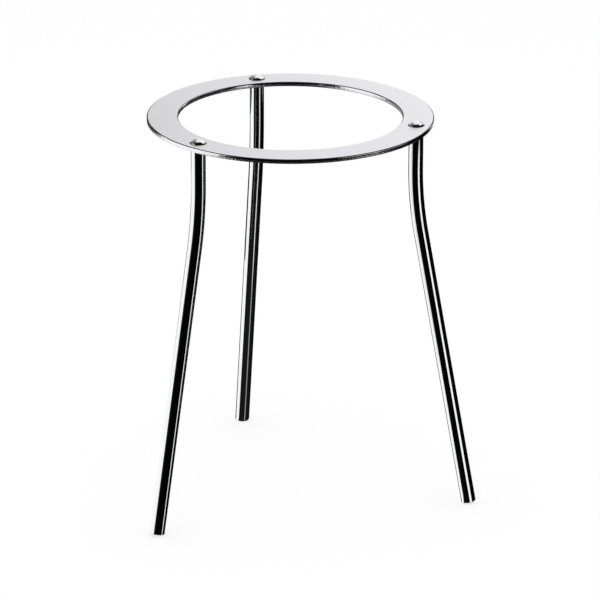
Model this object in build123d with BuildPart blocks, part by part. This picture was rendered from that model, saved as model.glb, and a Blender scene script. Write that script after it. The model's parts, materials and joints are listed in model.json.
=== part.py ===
from build123d import *
import os
from math import cos, radians, sin

# Lab tripod stand: a flat steel ring on bent round legs, each leg riveted through the ring.
# Lengths are in millimetres and angles in degrees. The origin is the middle of the ring, level with
# its top face, where the stand carries its load. +Z points up and the first leg is on the +X side.

# The stand as a whole
stand_height = 216.0  # bench to the ring's top face
leg_names = ("leg_right", "leg_back", "leg_left")  # counted anticlockwise from +X, seen from above

# Ring, punched from flat sheet
ring_bore = 122.0  # clear diameter inside the ring
band_width = 17.0  # flat band between the bore and the outer edge
sheet_thickness = 2.5
edge_break = 0.3  # bevel on the edges of the bore and of the outer rim

# Leg, a bent round rod
rod_diameter = 8.0
upright_run = 21.0  # from the ring's underside down to where the bend begins
bend_radius = 200.0  # at the rod's axis
lean_angle = 10.6  # of the lower run, away from upright
foot_edge_radius = 0.4  # rounding round the square-cut foot

# Riveted joint at the top of each leg
rivet_edge_distance = 8.0  # from the rivet's middle to the ring's outer edge
shoulder_width = 1.25  # step between rod and spigot that bears on the ring's underside
rivet_clearance = 0.05  # radial, between spigot and hole
head_overhang = 1.6  # reach of the closed head past the spigot
head_height = 2.3  # crown above the ring's top face

# Levels, counted from the ring's top face
ring_underside = -sheet_thickness
bend_top = ring_underside - upright_run
bend_foot = bend_top - bend_radius * sin(radians(lean_angle))
bench = -stand_height

# Radii and spacing that follow from these sizes
bore_radius = ring_bore / 2
outer_radius = bore_radius + band_width
rivet_circle_radius = outer_radius - rivet_edge_distance
rod_radius = rod_diameter / 2
spigot_radius = rod_radius - shoulder_width
rivet_hole_radius = spigot_radius + rivet_clearance
head_radius = spigot_radius + head_overhang
leg_spacing = 360 / len(leg_names)

# The foot is cut square to the leaning rod, so it stands on the inner side of its rounded edge.
# The middle of its flat face is lifted by this much, and the lower run ends there.
foot_face_radius = rod_radius - foot_edge_radius
face_rise = foot_face_radius * sin(radians(lean_angle))
edge_rise = foot_edge_radius * (1 - cos(radians(lean_angle)))
foot_lift = face_rise + edge_rise
lower_run = (bend_foot - bench - foot_lift) / cos(radians(lean_angle))


def make_ring():
    """Flat ring with a plain hole for each leg's spigot, and the bore's and rim's edges broken."""
    with BuildPart() as ring:
        with BuildSketch(Plane.XY.offset(ring_underside)):
            Circle(outer_radius)
            Circle(bore_radius, mode=Mode.SUBTRACT)
            with PolarLocations(rivet_circle_radius, len(leg_names)):
                Circle(rivet_hole_radius, mode=Mode.SUBTRACT)
        extrude(amount=sheet_thickness)
        circles_by_radius = ring.edges().filter_by(GeomType.CIRCLE).group_by(SortBy.RADIUS)
        bore_edges, rim_edges = circles_by_radius[-2:]
        chamfer(bore_edges + rim_edges, edge_break)
    return ring


def make_leg():
    """Leg on the +X side: bent rod with a square-cut foot, and a spigot closed over into a domed head."""
    with BuildPart() as leg:
        # Rod along its axis: upright below the ring, then a wide bend, then the leaning lower run
        with BuildLine(Plane.XZ) as rod_axis:
            upright = Line((rivet_circle_radius, ring_underside), (rivet_circle_radius, bend_top))
            bend = JernArc(upright @ 1, upright % 1, bend_radius, lean_angle)
            Line(bend @ 1, bend @ 1 + (bend % 1) * lower_run)
        with BuildSketch(Plane(upright @ 0, z_dir=upright % 0)):
            Circle(rod_radius)
        sweep(path=rod_axis.wire())
        foot_rim = leg.edges().filter_by(GeomType.CIRCLE).sort_by(Axis.Z)[0]
        fillet(foot_rim, foot_edge_radius)

        # Rivet: the spigot fills the ring's hole and its closed head sits on the ring's top face
        with BuildSketch(Plane.XZ):
            with BuildLine():
                crown = (rivet_circle_radius, head_height)
                head_edge = (rivet_circle_radius + head_radius, 0)
                Polyline(
                    crown,
                    (rivet_circle_radius, ring_underside),
                    (rivet_circle_radius + spigot_radius, ring_underside),
                    (rivet_circle_radius + spigot_radius, 0),
                    head_edge,
                )
                TangentArc(crown, head_edge, tangent=(1, 0))
            make_face()
        revolve(axis=Axis(upright @ 0, (0, 0, 1)))
    return leg


os.makedirs("parts", exist_ok=True)

ring = make_ring()
ring.part.label = "ring_plate"
export_step(ring.part, "parts/ring_plate.step")

leg = make_leg()
for place, leg_name in enumerate(leg_names):
    with BuildPart() as placed_leg:
        add(leg.part, rotation=(0, 0, place * leg_spacing))
    placed_leg.part.label = leg_name
    export_step(placed_leg.part, f"parts/{leg_name}.step")
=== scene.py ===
import json
import math

import bmesh
import bpy
import numpy as np
from mathutils import Matrix


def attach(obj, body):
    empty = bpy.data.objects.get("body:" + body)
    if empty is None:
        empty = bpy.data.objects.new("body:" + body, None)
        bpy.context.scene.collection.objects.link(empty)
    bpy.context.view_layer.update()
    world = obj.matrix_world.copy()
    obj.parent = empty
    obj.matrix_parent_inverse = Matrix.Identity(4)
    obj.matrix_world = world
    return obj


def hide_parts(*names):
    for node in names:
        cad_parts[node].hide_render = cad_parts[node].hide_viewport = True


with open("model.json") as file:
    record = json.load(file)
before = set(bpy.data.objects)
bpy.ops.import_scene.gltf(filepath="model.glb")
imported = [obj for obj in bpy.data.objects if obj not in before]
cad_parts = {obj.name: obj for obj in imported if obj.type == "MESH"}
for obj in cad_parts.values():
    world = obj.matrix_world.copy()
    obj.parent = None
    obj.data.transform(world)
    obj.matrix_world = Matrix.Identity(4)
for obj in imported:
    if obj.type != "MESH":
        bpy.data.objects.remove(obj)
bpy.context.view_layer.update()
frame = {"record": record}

# Lab tripod stand: a flat satin ring on three polished rods, each riveted through the ring.
# Lengths are in metres. The origin is the middle of the ring, level with its top face.

MM = 0.001
WELD_REACH = 0.0005 * MM  # points closer than this are one point

# Ring, punched from sheet
BORE_RADIUS = frame["record"]["mounts"][0]["dims"]["r_mm"] * MM
BAND_WIDTH = 17.0 * MM
SHEET_THICKNESS = 2.5 * MM
UPPER_EDGE_RADIUS = 1.0 * MM  # of the arc on which the upper edge rolls over
UPPER_EDGE_TURN = math.radians(65)  # slope at which that arc meets the wall
UPPER_EDGE_ROWS = 11
LOWER_EDGE_BREAK = 0.3 * MM
RIVET_EDGE_DISTANCE = 8.0 * MM  # from a rivet's middle to the outer edge
RIVET_HOLE_RADIUS = 2.8 * MM
RING_COLUMNS = 720
RIVET_COLUMNS = 24  # columns on each side of a rivet that the patch round its hole takes up
BAND_ROWS = 6
FLAT_MARGIN = 0.08 * MM  # narrow row that keeps the flat faces' shading flat up to the rounding
PATCH_ROWS = 9
PATCH_CROWDING = 1.5  # power that draws a patch's rows towards its hole
PATCH_LAST_ROW = 0.98
RING_SHADE_ANGLE = math.radians(18)
SATIN = 0  # the ring's material slots
PUNCHED = 1

# Leg rod
BENCH_LEVEL = -216.0 * MM
ROD_RADIUS = 4.0 * MM
UPRIGHT_RUN = 21.0 * MM
BEND_RADIUS = 200.0 * MM
LEAN = math.radians(10.6)
FOOT_EDGE_RADIUS = 0.4 * MM
ROD_COLUMNS = 96
FOOT_EDGE_ROWS = 9
LOWER_ROWS = 40
BEND_ROWS = 41
UPRIGHT_ROWS = 8
DOME_ROWS = 20
ROD_SHADE_ANGLE = math.radians(30)
LEG_AZIMUTHS = [math.radians(turn) for turn in (0, 120, 240)]
LEG_PIECES = (("right_leg_rod", "leg_right"), ("back_leg_rod", "leg_back"), ("left_leg_rod", "leg_left"))

# Rivet at the top of each leg
SPIGOT_RADIUS = 2.75 * MM
HEAD_RADIUS = 4.35 * MM
HEAD_HEIGHT = 2.3 * MM

# Colours, and the painted contact shade where a rod or its head meets the ring, from full to none
RING_STEEL = (0.785, 0.780, 0.812)
ROD_STEEL = (0.80, 0.805, 0.81)
# Painted dark tone: painted contact shade at the seats, and the painted dark reflection line on the punched
# wall
PAINTED_DARK = (0.06, 0.06, 0.065)
SEAT_SHADE_FULL = 0.1 * MM
SEAT_SHADE_NONE = 0.4 * MM

# Satin face; marks are counted per metre, and roughness goes with the marks from low to high
MARK_DETAIL = 3
SATIN_GRAIN = 2200
SATIN_ROUGHNESS = (0.30, 0.46)
SATIN_BUMP = 0.02 * MM
SATIN_BUMP_STRENGTH = 0.12

# Punched wall, by the way down from the top face: a painted dark reflection line on the rounding, then
# burnished, then torn
DARK_REFLECTION_TOP = 0.30 * MM
DARK_REFLECTION_FOOT = 0.74 * MM
DARK_REFLECTION_FADE = 0.06 * MM
EDGE_MARKS = (900, 250, 1)
EDGE_BUMP = 0.2 * MM
BURNISHED_ROUGHNESS = (0.04, 0.14)
BURNISHED_BUMP_STRENGTH = 0.15
TORN_DEPTH = 1.75 * MM
TORN_FADE = 0.25 * MM
TORN_RAGGEDNESS = 1.2 * MM
TORN_ROUGHNESS = (0.18, 0.40)

# Polished rod with a hammered head
ROD_LINES = (2500, 30, 1)
ROD_ROUGHNESS = (0.03, 0.09)
HEAD_DENTS = 600
DENT_DETAIL = 2
HEAD_BUMP = 0.09 * MM
HEAD_FADE = 0.3 * MM

# What follows from these sizes
OUTER_RADIUS = BORE_RADIUS + BAND_WIDTH
RIVET_CIRCLE = OUTER_RADIUS - RIVET_EDGE_DISTANCE
BEND_LENGTH = BEND_RADIUS * LEAN
BEND_FOOT_LEVEL = -SHEET_THICKNESS - UPRIGHT_RUN - BEND_RADIUS * math.sin(LEAN)
FOOT_FACE_RADIUS = ROD_RADIUS - FOOT_EDGE_RADIUS
FOOT_LIFT = FOOT_FACE_RADIUS * math.sin(LEAN) + FOOT_EDGE_RADIUS * (1 - math.cos(LEAN))
FOOT_LEVEL = BENCH_LEVEL + FOOT_LIFT
LOWER_RUN = (BEND_FOOT_LEVEL - FOOT_LEVEL) / math.cos(LEAN)
FOOT_OUT = RIVET_CIRCLE + BEND_RADIUS * (1 - math.cos(LEAN)) + LOWER_RUN * math.sin(LEAN)
SHOULDER = LOWER_RUN + BEND_LENGTH + UPRIGHT_RUN

# Camera, found by fitting the stand's edges to the photograph
IMAGE_SIZE = 600
SENSOR = 36.0
FOCAL_PIXELS = 4417.3
VIEW_AZIMUTH = math.radians(14.311)
VIEW_ELEVATION = math.radians(19.899)
VIEW_ROLL = math.radians(0.211)
VIEW_DISTANCE = 2433.4 * MM
VIEW_LIMIT = 50.0
AIM_RIGHT = 5.55 * MM
AIM_UP = 1.22 * MM
AIM_LEVEL = BENCH_LEVEL / 2

# Directions of the studio: to the picture's right, level towards the camera, and up
RIGHT = np.array((math.cos(VIEW_AZIMUTH), math.sin(VIEW_AZIMUTH), 0.0))
TOWARDS = np.array((math.sin(VIEW_AZIMUTH), -math.cos(VIEW_AZIMUTH), 0.0))
UP = np.array((0.0, 0.0, 1.0))

# Studio: how strongly the cards glow, and the sizes of what stands round the part
WHITE_GLOW = 1.15
GREY_GLOW = 0.35
DARK_GLOW = 0.05
FLAG_GLOW = 0.03
BOWL_RADIUS = 1.6
BOWL_COLUMNS = 72
ARCH_RADIUS = 1.5
ARCH_DARK_GLOW = 0.008
ARCH_BLEND = 10  # degrees from dark to bright
STAGE_SHADE_ANGLE = math.radians(60)
FLOOR_GREY = 0.92
FLOOR_ROUGHNESS = 0.9
FLOOR_WHITE_SHARE = 0.7  # of the floor's look that is plain white to the camera; the rest shows shadow
FLOOR_REACH = 8.0
LAMP_SIZE = 1.2
LAMP_POWER = 2.5
LAMP_HEIGHT = 1.0


def mesh_object(name, points, faces, face_uv, shade_angle):
    """Mesh object at the origin from an array of points and an array of four-cornered faces.

    A face whose last two corners are the same point is a triangle. face_uv has a pair for each
    corner of each face. Edges that turn by more than shade_angle are shaded sharp.
    """
    mesh = bpy.data.meshes.new(name)
    is_triangle = faces[:, 2] == faces[:, 3]
    corners = np.ones(faces.shape, bool)
    corners[is_triangle, 3] = False
    totals = np.where(is_triangle, 3, 4).astype(np.int32)
    starts = np.concatenate(([0], np.cumsum(totals)[:-1])).astype(np.int32)
    mesh.vertices.add(len(points))
    mesh.vertices.foreach_set("co", points.astype(np.float32).ravel())
    mesh.loops.add(int(totals.sum()))
    mesh.loops.foreach_set("vertex_index", faces[corners].astype(np.int32))
    mesh.polygons.add(len(faces))
    mesh.polygons.foreach_set("loop_start", starts)
    mesh.update(calc_edges=True)
    layer = mesh.uv_layers.new(name="surface")
    layer.data.foreach_set("uv", face_uv[corners].astype(np.float32).ravel())
    mesh.validate()
    mesh.shade_smooth()
    mesh.set_sharp_from_angle(angle=shade_angle)
    piece = bpy.data.objects.new(name, mesh)
    bpy.context.scene.collection.objects.link(piece)
    return piece


def grid_faces(rows, columns):
    """Corner numbers of the faces of a grid of points, row by row, facing columns-cross-rows."""
    number = np.arange(rows * columns).reshape(rows, columns)
    near = number[:-1, :-1]
    side = number[:-1, 1:]
    far_side = number[1:, 1:]
    far = number[1:, :-1]
    return np.stack((near, side, far_side, far), axis=-1).reshape(-1, 4)


def weld(piece):
    """Merges points that lie within WELD_REACH of each other, so that seams and poles are closed."""
    work = bmesh.new()
    work.from_mesh(piece.data)
    bmesh.ops.remove_doubles(work, verts=work.verts, dist=WELD_REACH)
    bmesh.ops.dissolve_degenerate(work, edges=work.edges, dist=WELD_REACH)
    work.to_mesh(piece.data)
    work.free()


def rod_axis(distance):
    """Leg's axis by distance from the foot: a straight leaning run, a circular arc, then upright.

    Gives the distance out from the ring's axis, the height, and the slope away from upright.
    """
    into_bend = np.clip(distance - LOWER_RUN, 0, BEND_LENGTH)
    along_lower = np.minimum(distance, LOWER_RUN)
    along_upright = np.maximum(distance - LOWER_RUN - BEND_LENGTH, 0)
    slope = LEAN - into_bend / BEND_RADIUS
    out = FOOT_OUT - along_lower * math.sin(LEAN) - BEND_RADIUS * (np.cos(slope) - math.cos(LEAN))
    height = FOOT_LEVEL + along_lower * math.cos(LEAN)
    height = height + BEND_RADIUS * (math.sin(LEAN) - np.sin(slope)) + along_upright
    return out, height, slope


def leg_profile():
    """Leg's outline as distance along its axis and radius, from the foot's middle to the crown.

    The foot's edge is a quarter circle. The dome is an arc of a circle that is level at the crown
    and ends on the ring's top face.
    """
    foot = ((0, 0), (0, FOOT_FACE_RADIUS / 2))
    turn = np.linspace(0, math.pi / 2, FOOT_EDGE_ROWS)
    foot_edge_along = FOOT_EDGE_RADIUS * (1 - np.cos(turn))
    foot_edge = np.stack((foot_edge_along, FOOT_FACE_RADIUS + FOOT_EDGE_RADIUS * np.sin(turn)), axis=1)
    lower = np.linspace(FOOT_EDGE_RADIUS, LOWER_RUN, LOWER_ROWS)[1:]
    bend = LOWER_RUN + np.linspace(0, BEND_LENGTH, BEND_ROWS)[1:]
    upright = LOWER_RUN + BEND_LENGTH + np.linspace(0, UPRIGHT_RUN, UPRIGHT_ROWS)[1:]
    rod = np.concatenate((lower, bend, upright))
    rod = np.stack((rod, np.full(len(rod), ROD_RADIUS)), axis=1)
    top = SHOULDER + SHEET_THICKNESS
    spigot = (
        (SHOULDER, SPIGOT_RADIUS),
        (top, SPIGOT_RADIUS),
        (top, HEAD_RADIUS),
    )
    dome_radius = (HEAD_RADIUS**2 + HEAD_HEIGHT**2) / (2 * HEAD_HEIGHT)
    turn = np.linspace(math.asin(HEAD_RADIUS / dome_radius), 0, DOME_ROWS)[1:]
    dome_along = top + HEAD_HEIGHT - dome_radius * (1 - np.cos(turn))
    dome = np.stack((dome_along, dome_radius * np.sin(turn)), axis=1)
    return np.concatenate((foot, foot_edge, rod, spigot, dome))


def make_leg(name, azimuth):
    """Rod leg at a given azimuth: the profile's circles carried along the axis, square to it."""
    profile = leg_profile()
    along = profile[:, :1]
    radius = profile[:, 1:]
    out, height, slope = rod_axis(along)
    around = np.linspace(0, 2 * math.pi, ROD_COLUMNS + 1)[None, :]
    outwards = out + radius * np.cos(around) * np.cos(slope)
    upwards = height + radius * np.cos(around) * np.sin(slope)
    sideways = radius * np.sin(around)
    x = outwards * math.cos(azimuth) - sideways * math.sin(azimuth)
    y = outwards * math.sin(azimuth) + sideways * math.cos(azimuth)
    points = np.stack((x, y, upwards), axis=-1).reshape(-1, 3)
    faces = grid_faces(len(profile), ROD_COLUMNS + 1)
    outline = np.concatenate(([0], np.cumsum(np.hypot(*np.diff(profile, axis=0).T))))[:, None]
    flat = np.stack((around * ROD_RADIUS + 0 * outline, outline + 0 * around), axis=-1)
    leg = mesh_object(name, points, faces, flat.reshape(-1, 2)[faces], ROD_SHADE_ANGLE)
    weld(leg)
    return leg


def make_ring(name):
    """Flat ring: its edge profile carried round the axis, and flat faces with a hole for each leg.

    Away from the holes a flat face is a grid of radius and azimuth. Round each hole it is a patch
    whose rows run straight from the hole's circle to the edge of a short sector of the ring.
    """
    edge_reach = UPPER_EDGE_RADIUS * math.sin(UPPER_EDGE_TURN)
    inner = BORE_RADIUS + edge_reach
    outer = OUTER_RADIUS - edge_reach
    low = -SHEET_THICKNESS
    azimuth = np.linspace(0, 2 * math.pi, RING_COLUMNS + 1)
    points = []
    faces = []
    corner_uv = []
    kinds = []

    def add_grid(radius, angle, level, kind, drop=0.0):
        """Adds a grid of points in cylinder coordinates; kind is the finish, SATIN or PUNCHED.

        On an edge, drop is the way along its profile from the top face, counted downwards as negative.
        """
        radius, angle, level, drop = np.broadcast_arrays(radius, angle, level, drop)
        start = sum(len(block) for block in points)
        block = np.stack((radius * np.cos(angle), radius * np.sin(angle), level), axis=-1)
        grid = grid_faces(*radius.shape)
        if kind == SATIN:
            flat = block[..., :2].reshape(-1, 2)
        else:
            flat = np.stack((angle * OUTER_RADIUS, drop), axis=-1).reshape(-1, 2)
        points.append(block.reshape(-1, 3))
        faces.append(grid + start)
        corner_uv.append(flat[grid])
        kinds.append(np.full(len(grid), kind))

    # The upper edge rolls over on an arc and meets the wall at an angle; the lower edge is broken
    slope = np.linspace(UPPER_EDGE_TURN, 0, UPPER_EDGE_ROWS)
    lower_set_back = (edge_reach, LOWER_EDGE_BREAK, 0)
    lower_level = (low, low, low + LOWER_EDGE_BREAK)
    set_back = np.concatenate((lower_set_back, edge_reach - UPPER_EDGE_RADIUS * np.sin(slope)))
    edge_level = np.concatenate((lower_level, UPPER_EDGE_RADIUS * (np.cos(slope) - 1)))
    outer_edge = OUTER_RADIUS - set_back
    inner_edge = BORE_RADIUS + set_back[::-1]
    steps = np.hypot(np.diff(set_back), np.diff(edge_level))
    drop = np.append(-np.cumsum(steps[::-1])[::-1], 0.0)
    add_grid(outer_edge[:, None], azimuth[None, :], edge_level[:, None], PUNCHED, drop[:, None])
    add_grid(inner_edge[:, None], azimuth[None, :], edge_level[::-1, None], PUNCHED, drop[::-1, None])

    # The flat faces' rows, and the edge of the sector round each hole, counted from the outer edge
    broad_rows = np.linspace(inner + FLAT_MARGIN, outer - FLAT_MARGIN, BAND_ROWS)
    across = np.concatenate(([inner], broad_rows, [outer]))
    bands = len(across) - 1
    step = 2 * math.pi / RING_COLUMNS
    plain_columns = np.arange(RIVET_COLUMNS, RING_COLUMNS // len(LEG_AZIMUTHS) - RIVET_COLUMNS + 1)
    swing = step * np.arange(-RIVET_COLUMNS, RIVET_COLUMNS + 1)
    edge_angle = np.concatenate(
        (swing, np.full(bands - 1, swing[-1]), swing[::-1], np.full(bands, swing[0]))
    )
    edge_radius = np.concatenate(
        (np.full(len(swing), outer), across[::-1][1:-1], np.full(len(swing), inner), across[1:])
    )
    edge_x = edge_radius * np.cos(edge_angle)
    edge_y = edge_radius * np.sin(edge_angle)
    bearing = np.arctan2(edge_y, edge_x - RIVET_CIRCLE)
    hole_x = RIVET_CIRCLE + RIVET_HOLE_RADIUS * np.cos(bearing)
    hole_y = RIVET_HOLE_RADIUS * np.sin(bearing)

    # Shares of the way from the hole to the sector's edge, closer together at both ends
    crowded = np.linspace(0, 1, PATCH_ROWS)[:-1] ** PATCH_CROWDING
    share = np.append(crowded, (PATCH_LAST_ROW, 1))[:, None]
    patch_x = hole_x + share * (edge_x - hole_x)
    patch_y = hole_y + share * (edge_y - hole_y)
    patch_radius = np.hypot(patch_x, patch_y)
    wall_level = np.array((0.0, low))[:, None]
    for leg_azimuth in LEG_AZIMUTHS:
        plain = leg_azimuth + step * plain_columns
        add_grid(across[::-1, None], plain[None, :], 0.0, SATIN)
        add_grid(across[:, None], plain[None, :], low, SATIN)
        patch_angle = leg_azimuth + np.arctan2(patch_y, patch_x)
        add_grid(patch_radius[::-1], patch_angle[::-1], 0.0, SATIN)
        add_grid(patch_radius, patch_angle, low, SATIN)
        add_grid(patch_radius[:1], patch_angle[:1], wall_level, PUNCHED, wall_level)

    points = np.concatenate(points)
    faces = np.concatenate(faces)
    corner_uv = np.concatenate(corner_uv)
    kinds = np.concatenate(kinds)
    ring = mesh_object(name, points, faces, corner_uv, RING_SHADE_ANGLE)
    ring.data.polygons.foreach_set("material_index", kinds.astype(np.int32))
    weld(ring)
    return ring


def new_material(name):
    """Material with a metal shader; gives the material, its nodes, its links and the shader."""
    material = bpy.data.materials.new(name)
    material.use_nodes = True
    nodes = material.node_tree.nodes
    shader = nodes["Principled BSDF"]
    shader.inputs["Metallic"].default_value = 1.0
    return material, nodes, material.node_tree.links, shader


def ranged(nodes, links, source, low, high):
    """Map Range node that takes 0..1 from source to low..high; gives its output."""
    node = nodes.new("ShaderNodeMapRange")
    node.inputs["To Min"].default_value = low
    node.inputs["To Max"].default_value = high
    links.new(source, node.inputs["Value"])
    return node.outputs["Result"]


def faded(nodes, links, source, start, end):
    """Map Range node that goes smoothly from 0 where source is start to 1 where it is end."""
    node = nodes.new("ShaderNodeMapRange")
    node.interpolation_type = "SMOOTHSTEP"
    node.inputs["From Min"].default_value = start
    node.inputs["From Max"].default_value = end
    links.new(source, node.inputs["Value"])
    return node.outputs["Result"]


def noise(nodes, links, source, stretch, detail):
    """Noise on a stretched pattern; stretch is marks per metre along each axis. Gives its factor."""
    mapping = nodes.new("ShaderNodeMapping")
    mapping.inputs["Scale"].default_value = stretch
    links.new(source, mapping.inputs["Vector"])
    texture = nodes.new("ShaderNodeTexNoise")
    texture.inputs["Scale"].default_value = 1.0
    texture.inputs["Detail"].default_value = detail
    links.new(mapping.outputs["Vector"], texture.inputs["Vector"])
    return texture.outputs["Fac"]


def math_node(nodes, links, operation, first, second):
    """Math node; first is an output and second an output or a number. Gives its value."""
    node = nodes.new("ShaderNodeMath")
    node.operation = operation
    links.new(first, node.inputs[0])
    if isinstance(second, (int, float)):
        node.inputs[1].default_value = second
    else:
        links.new(second, node.inputs[1])
    return node.outputs["Value"]


def mixed_number(nodes, links, share, low, high):
    """Number that goes from the output low to the output high as share goes from 0 to 1."""
    node = nodes.new("ShaderNodeMix")
    links.new(share, node.inputs["Factor"])
    links.new(low, node.inputs["A"])
    links.new(high, node.inputs["B"])
    return node.outputs["Result"]


def painted_dark_color(nodes, links, share, dark_tone, steel):
    """Colour that goes from a painted dark tone to steel as share goes from 0 to 1; it paints shade and dark
    reflections.
    """
    node = nodes.new("ShaderNodeMix")
    node.data_type = "RGBA"
    links.new(share, node.inputs["Factor"])
    node.inputs[6].default_value = (*dark_tone, 1)
    node.inputs[7].default_value = (*steel, 1)
    return node.outputs[2]


def bumped(nodes, links, shader, height, strength, distance):
    """Bump node on the shader; distance is the height in metres of a full step at strength 1."""
    node = nodes.new("ShaderNodeBump")
    node.inputs["Distance"].default_value = distance
    if isinstance(strength, (int, float)):
        node.inputs["Strength"].default_value = strength
    else:
        links.new(strength, node.inputs["Strength"])
    links.new(height, node.inputs["Height"])
    links.new(node.outputs["Normal"], shader.inputs["Normal"])


def satin_finish():
    """Satin face of the ring: fine even grain, with painted contact shade close round each rivet head."""
    material, nodes, links, shader = new_material("satin_steel")
    place = nodes.new("ShaderNodeTexCoord").outputs["Object"]
    nearest = None
    for leg_azimuth in LEG_AZIMUTHS:
        rivet_x = RIVET_CIRCLE * math.cos(leg_azimuth)
        rivet_y = RIVET_CIRCLE * math.sin(leg_azimuth)
        reach = nodes.new("ShaderNodeVectorMath")
        reach.operation = "DISTANCE"
        reach.inputs[1].default_value = (rivet_x, rivet_y, 0)
        links.new(place, reach.inputs[0])
        distance = reach.outputs["Value"]
        nearest = distance if nearest is None else math_node(nodes, links, "MINIMUM", nearest, distance)
    # Painted contact shade: the satin face darkens in a narrow band round each rivet head
    clear = faded(nodes, links, nearest, HEAD_RADIUS + SEAT_SHADE_FULL, HEAD_RADIUS + SEAT_SHADE_NONE)
    links.new(painted_dark_color(nodes, links, clear, PAINTED_DARK, RING_STEEL), shader.inputs["Base Color"])
    grain = noise(nodes, links, place, (SATIN_GRAIN, SATIN_GRAIN, SATIN_GRAIN), MARK_DETAIL)
    links.new(ranged(nodes, links, grain, *SATIN_ROUGHNESS), shader.inputs["Roughness"])
    bumped(nodes, links, shader, grain, SATIN_BUMP_STRENGTH, SATIN_BUMP)
    return material


def edge_finish():
    """Punched wall of the ring: a painted dark reflection line on the rounding, burnished, then torn with
    upright marks.
    """
    material, nodes, links, shader = new_material("punched_edge_steel")
    place = nodes.new("ShaderNodeUVMap").outputs["UV"]
    split = nodes.new("ShaderNodeSeparateXYZ")
    links.new(place, split.inputs["Vector"])
    drop = split.outputs["Y"]
    # Painted dark reflection: a dark band on the upper edge's rounding, painted into the base colour
    above = faded(nodes, links, drop, -DARK_REFLECTION_TOP, DARK_REFLECTION_FADE - DARK_REFLECTION_TOP)
    below = faded(nodes, links, drop, -DARK_REFLECTION_FOOT, -DARK_REFLECTION_FADE - DARK_REFLECTION_FOOT)
    clear = math_node(nodes, links, "MAXIMUM", above, below)
    links.new(painted_dark_color(nodes, links, clear, PAINTED_DARK, RING_STEEL), shader.inputs["Base Color"])
    marks = noise(nodes, links, place, EDGE_MARKS, MARK_DETAIL)
    ragged = math_node(nodes, links, "MULTIPLY_ADD", marks, TORN_RAGGEDNESS)
    ragged.node.inputs[2].default_value = -TORN_RAGGEDNESS / 2
    level = math_node(nodes, links, "ADD", drop, ragged)
    torn = faded(nodes, links, level, TORN_FADE - TORN_DEPTH, -TORN_FADE - TORN_DEPTH)
    burnished_gloss = ranged(nodes, links, marks, *BURNISHED_ROUGHNESS)
    torn_gloss = ranged(nodes, links, marks, *TORN_ROUGHNESS)
    links.new(mixed_number(nodes, links, torn, burnished_gloss, torn_gloss), shader.inputs["Roughness"])
    bump_strength = ranged(nodes, links, torn, BURNISHED_BUMP_STRENGTH, 1.0)
    bumped(nodes, links, shader, marks, bump_strength, EDGE_BUMP)
    return material


def rod_finish():
    """Polished rod: near mirror, with faint drawn lines along it, a hammered head, and painted contact shade
    at the head's base and just under the ring.
    """
    material, nodes, links, shader = new_material("polished_rod_steel")
    along = nodes.new("ShaderNodeUVMap").outputs["UV"]
    place = nodes.new("ShaderNodeTexCoord").outputs["Object"]
    split = nodes.new("ShaderNodeSeparateXYZ")
    links.new(place, split.inputs["Vector"])
    height = split.outputs["Z"]
    # Painted contact shade: the rod darkens within the sheet, at the head's base and just under the ring
    seat = SHEET_THICKNESS / 2
    from_sheet_middle = math_node(nodes, links, "ADD", height, seat)
    off_sheet = math_node(nodes, links, "ABSOLUTE", from_sheet_middle, 0)
    clear = faded(nodes, links, off_sheet, seat + SEAT_SHADE_FULL, seat + SEAT_SHADE_NONE)
    links.new(painted_dark_color(nodes, links, clear, PAINTED_DARK, ROD_STEEL), shader.inputs["Base Color"])
    lines = noise(nodes, links, along, ROD_LINES, MARK_DETAIL)
    links.new(ranged(nodes, links, lines, *ROD_ROUGHNESS), shader.inputs["Roughness"])
    on_head = faded(nodes, links, height, 0, HEAD_FADE)
    dents = noise(nodes, links, place, (HEAD_DENTS, HEAD_DENTS, HEAD_DENTS), DENT_DETAIL)
    bumped(nodes, links, shader, dents, on_head, HEAD_BUMP)
    return material


def glow_material():
    """Card material: each point of a card glows with the strength that the card's own attribute gives."""
    material = bpy.data.materials.new("card_glow")
    material.use_nodes = True
    nodes = material.node_tree.nodes
    nodes.clear()
    strength = nodes.new("ShaderNodeAttribute")
    strength.attribute_name = "glow"
    glow = nodes.new("ShaderNodeEmission")
    output = nodes.new("ShaderNodeOutputMaterial")
    material.node_tree.links.new(strength.outputs["Fac"], glow.inputs["Strength"])
    material.node_tree.links.new(glow.outputs["Emission"], output.inputs["Surface"])
    return material


def floor_finish():
    """Pale floor: a share of plain white for the camera, so that the stand's shadow on it stays faint."""
    material = bpy.data.materials.new("pale_floor")
    material.use_nodes = True
    nodes = material.node_tree.nodes
    links = material.node_tree.links
    shader = nodes["Principled BSDF"]
    shader.inputs["Base Color"].default_value = (FLOOR_GREY, FLOOR_GREY, FLOOR_GREY, 1)
    shader.inputs["Roughness"].default_value = FLOOR_ROUGHNESS
    shader.inputs["Specular IOR Level"].default_value = 0.0
    white = nodes.new("ShaderNodeEmission")
    seen = nodes.new("ShaderNodeLightPath").outputs["Is Camera Ray"]
    mix = nodes.new("ShaderNodeMixShader")
    links.new(math_node(nodes, links, "MULTIPLY", seen, FLOOR_WHITE_SHARE), mix.inputs["Fac"])
    links.new(shader.outputs["BSDF"], mix.inputs[1])
    links.new(white.outputs["Emission"], mix.inputs[2])
    links.new(mix.outputs["Shader"], nodes["Material Output"].inputs["Surface"])
    return material


def stage_grid(name, points, material):
    """Stage surface from a grid of points."""
    faces = grid_faces(*points.shape[:2])
    flat = points.reshape(-1, 3)
    surface = mesh_object(name, flat, faces, flat[:, :2][faces], STAGE_SHADE_ANGLE)
    surface.data.materials.append(material)
    return surface


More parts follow.
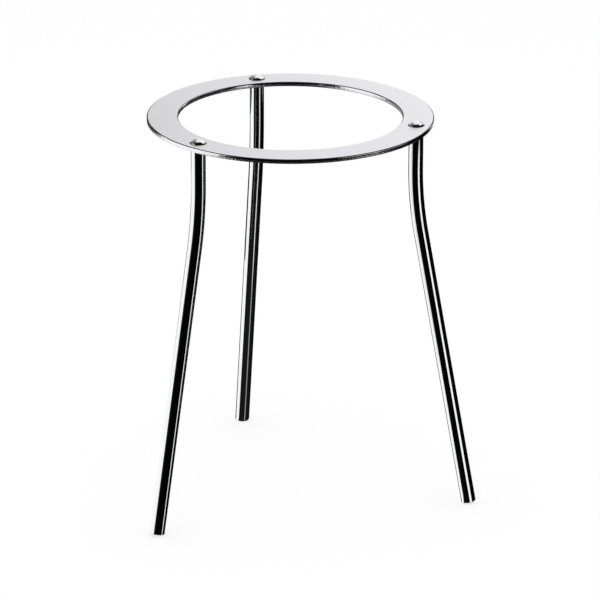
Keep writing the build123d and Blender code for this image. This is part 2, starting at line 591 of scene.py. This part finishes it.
def mirrored_card(name, points, glow):
    """Card that shows only in reflections, with a glow for each point of its grid."""
    card = stage_grid(name, points, CARD_GLOW)
    strength = card.data.attributes.new("glow", "FLOAT", "POINT")
    strength.data.foreach_set("value", np.broadcast_to(glow, points.shape[:2]).astype(np.float32).ravel())
    card.visible_camera = False
    card.visible_diffuse = False
    card.visible_shadow = False
    card.visible_volume_scatter = False
    return card


def upright_card(name, plan, plan_glow, levels, level_glow=1):
    """Upright card over a line of plan points, given as millimetres right and towards the camera.

    Levels are millimetres up from the ring's top face, each one number or a number for each plan
    point. The glow is the plan's glow times the level's glow, each one number or one for each.
    """
    plan = np.array(plan) * MM
    foot = plan[:, :1] * RIGHT + plan[:, 1:] * TOWARDS
    rows = np.array([np.broadcast_to(row, len(plan)) for row in levels]) * MM
    points = foot[None, :, :] + rows[:, :, None] * UP
    plan_glow = np.broadcast_to(plan_glow, len(plan))
    level_glow = np.broadcast_to(level_glow, len(levels))
    return mirrored_card(name, points, np.outer(level_glow, plan_glow))


def bowl_points(radius, elevation):
    """Part of a ball about the stand's middle, over the given elevations in degrees."""
    elevation = np.radians(elevation)[:, None]
    azimuth = np.linspace(0, 2 * math.pi, BOWL_COLUMNS + 1)[None, :]
    x = radius * np.cos(elevation) * np.cos(azimuth)
    y = radius * np.cos(elevation) * np.sin(azimuth)
    z = AIM_LEVEL + radius * np.sin(elevation) + 0 * azimuth
    return np.stack((x, y, z), axis=-1)


def arch_points(radius, rise, side):
    """Part of a ball overhead: rise goes from the front horizon over the top, side from left to right."""
    rise = np.radians(rise)[:, None, None]
    side = np.radians(side)[None, :, None]
    upwards = np.cos(rise) * TOWARDS + np.sin(rise) * UP
    return radius * (np.sin(side) * RIGHT + np.cos(side) * upwards)


# The stand
ring = make_ring("ring_band")
ring.data.materials.append(satin_finish())
ring.data.materials.append(edge_finish())
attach(ring, "root")
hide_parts("ring_plate")

rod_steel = rod_finish()
for (piece_name, node_name), leg_azimuth in zip(LEG_PIECES, LEG_AZIMUTHS):
    leg = make_leg(piece_name, leg_azimuth)
    leg.data.materials.append(rod_steel)
    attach(leg, "root")
    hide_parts(node_name)

# One material for all the cards
CARD_GLOW = glow_material()

# Dark surroundings below the ring
bowl_rise = np.linspace(-90, 5, 39)
bowl_glow = np.interp(bowl_rise, (-90, -40, -30, -20, 5), (0.010, 0.010, 0.004, 0.0015, 0.0015))
mirrored_card("dark_surround", bowl_points(BOWL_RADIUS, bowl_rise), bowl_glow[:, None])

# Cards on the left, which the rods and the ring's left edge mirror as white stripes, with dark flags
upright_card(
    "left_card",
    (
        (-640, 900), (-700, 680), (-760, 530), (-770, 490), (-785, 360), (-800, 227), (-820, 51),
        (-860, -300), (-785, -480),
    ),
    (0.0, 0.02, 0.05, *[WHITE_GLOW] * 6),
    (
        (-600, -600, -600, -620, -690, -770, -900, -1400, -1400),
        -250,
        (*[860] * 7, 500, -200),
        (*[900] * 7, 540, -160),
    ),
    (1, 1, 1, 0),
)
left_rear = ((-785, -480), (-700, -700), (-300, -950))
left_rear_end = (-40, -1000)
upright_card("left_rear_card", left_rear, WHITE_GLOW, (-1400, -345, -330), (1, 1, 0))
upright_card("left_rear_grey", (*left_rear, left_rear_end), (GREY_GLOW, GREY_GLOW, 0.45, 0.45), (-330, -110))
upright_card("left_rear_dark", left_rear, 0.04, (-110, 460))
upright_card("rim_flag", ((-165, -60), (-117, -105), (-90, -140)), DARK_GLOW, (-52, -15))
left_flag = ((-110, -110), (-95, -230), (-30, -260))
upright_card("left_flag", left_flag, FLAG_GLOW, (-150, (-75, -80, -110)))
upright_card("low_flag", ((-100, -148), *left_flag[1:]), FLAG_GLOW, (-700, -150))

# Cards on the right: a narrow one for the rods, one for the rim's upper edge, and a dark side
right_line = ((232, 112), (160, 148))
upright_card("right_card", right_line, WHITE_GLOW, (-700, -380, -320, -72, -58), (0.35, 0.35, 1, 1, 0))
right_upper = ((184, 68), (160, 125), (135, 190))
upright_card("right_upper_card", right_upper, 0.6, (25, 45, 130, 145), (0, 1, 1, 0))
right_side = ((480, 700), (700, 400), (860, -100), (700, -600), (480, -800))
upright_card("right_dark", right_side, 0.01, (-20, (900, 900, 900, 480, 210)))

# Fill card from the front to the right, which the satin ring mirrors when it is seen from behind
upright_card(
    "front_fill",
    ((-640, 905), (-330, 1080), (0, 1120), (330, 1000), (475, 695), (690, 395), (850, -95), (800, -330)),
    (0.9, 0.9, 0.9, 0.9, 0.8, 0.6, 0.5, 0),
    (
        (95, 96, 96, 92, 74, 70, 75, 75),
        (210, 215, 215, 205, 165, 155, 165, 165),
        (500, 510, 515, 485, 390, 365, 395, 395),
        (620, 635, 640, 605, 485, 455, 490, 490),
    ),
    (0, 1, 1, 0),
)

# Back card, lighter to the right and below, which the satin ring mirrors, with dark lower corners
upright_card(
    "back_card",
    ((-450, -550), (-250, -550), (-75, -550), (75, -550), (200, -550), (500, -550)),
    (0.29, 0.48, 0.87, 1.02, 1.09, 1.09),
    (-20, 120, 220, 500),
    (1.2, 1.15, 1.02, 1.0),
)
upright_card("back_left_dark", ((-540, -540), (-130, -540)), DARK_GLOW, (-25, 115))
upright_card("back_right_dark", ((150, -540), (540, -540)), DARK_GLOW, (-25, 100))

# Small card behind the ring's right end, which its wall mirrors
right_end = ((84, -100), (118, -100), (136, -100))
upright_card("right_end_card", right_end, (1.0, 0.9, 0.0), (-50, -45, -20, -12), (0, 1, 1, 0))

# Arch overhead: dark at the front, bright behind a line across it, and dimmer on the left
arch_rise = np.linspace(0, 135, 136)
arch_side = np.linspace(-75, 75, 76)
bright_line = np.interp(arch_side, (-75, 0, 45, 75), (92, 92, 100, 110))
past_line = np.clip((arch_rise[:, None] - bright_line) / ARCH_BLEND + 0.5, 0, 1)
side_glow = np.interp(arch_side, (-75, -42, -30, -20, -8, 60, 75), (0.05, 0.05, 0.15, 0.4, 1.05, 1.05, 0.5))
arch_glow = ARCH_DARK_GLOW + past_line * side_glow
mirrored_card("overhead_arch", arch_points(ARCH_RADIUS, arch_rise, arch_side), arch_glow)

# Floor
reach = np.linspace(-FLOOR_REACH, FLOOR_REACH, 3)
floor_points = np.stack(np.broadcast_arrays(reach[None, :], reach[:, None], BENCH_LEVEL), axis=-1)
floor = stage_grid("floor", floor_points, floor_finish())
floor.visible_glossy = False

# World and lamp
world = bpy.data.worlds.new("white_room")
world.use_nodes = True
world.node_tree.nodes["Background"].inputs["Color"].default_value = (1, 1, 1, 1)
world.node_tree.nodes["Background"].inputs["Strength"].default_value = 1.0
bpy.context.scene.world = world

lamp_data = bpy.data.lights.new("soft_lamp", "AREA")
lamp_data.shape = "SQUARE"
lamp_data.size = LAMP_SIZE
lamp_data.energy = LAMP_POWER
lamp = bpy.data.objects.new("soft_lamp", lamp_data)
lamp.location = (0, 0, LAMP_HEIGHT)
lamp.visible_glossy = False
bpy.context.scene.collection.objects.link(lamp)

# Camera
back = math.cos(VIEW_ELEVATION) * TOWARDS + math.sin(VIEW_ELEVATION) * UP
level_up = np.cross(back, RIGHT)
aim = AIM_LEVEL * UP + AIM_RIGHT * RIGHT + AIM_UP * level_up
eye = aim + VIEW_DISTANCE * back
camera_right = math.cos(VIEW_ROLL) * RIGHT + math.sin(VIEW_ROLL) * level_up
camera_up = math.cos(VIEW_ROLL) * level_up - math.sin(VIEW_ROLL) * RIGHT
camera_data = bpy.data.cameras.new("photo_camera")
camera_data.sensor_width = SENSOR
camera_data.sensor_fit = "HORIZONTAL"
camera_data.lens = FOCAL_PIXELS / IMAGE_SIZE * SENSOR
camera_data.clip_end = VIEW_LIMIT
camera = bpy.data.objects.new("photo_camera", camera_data)
placing = np.eye(4)
placing[:3, 0] = camera_right
placing[:3, 1] = camera_up
placing[:3, 2] = back
placing[:3, 3] = eye
camera.matrix_world = Matrix(placing.tolist())
bpy.context.scene.collection.objects.link(camera)
bpy.context.scene.camera = camera
bpy.context.scene.view_settings.view_transform = "Standard"
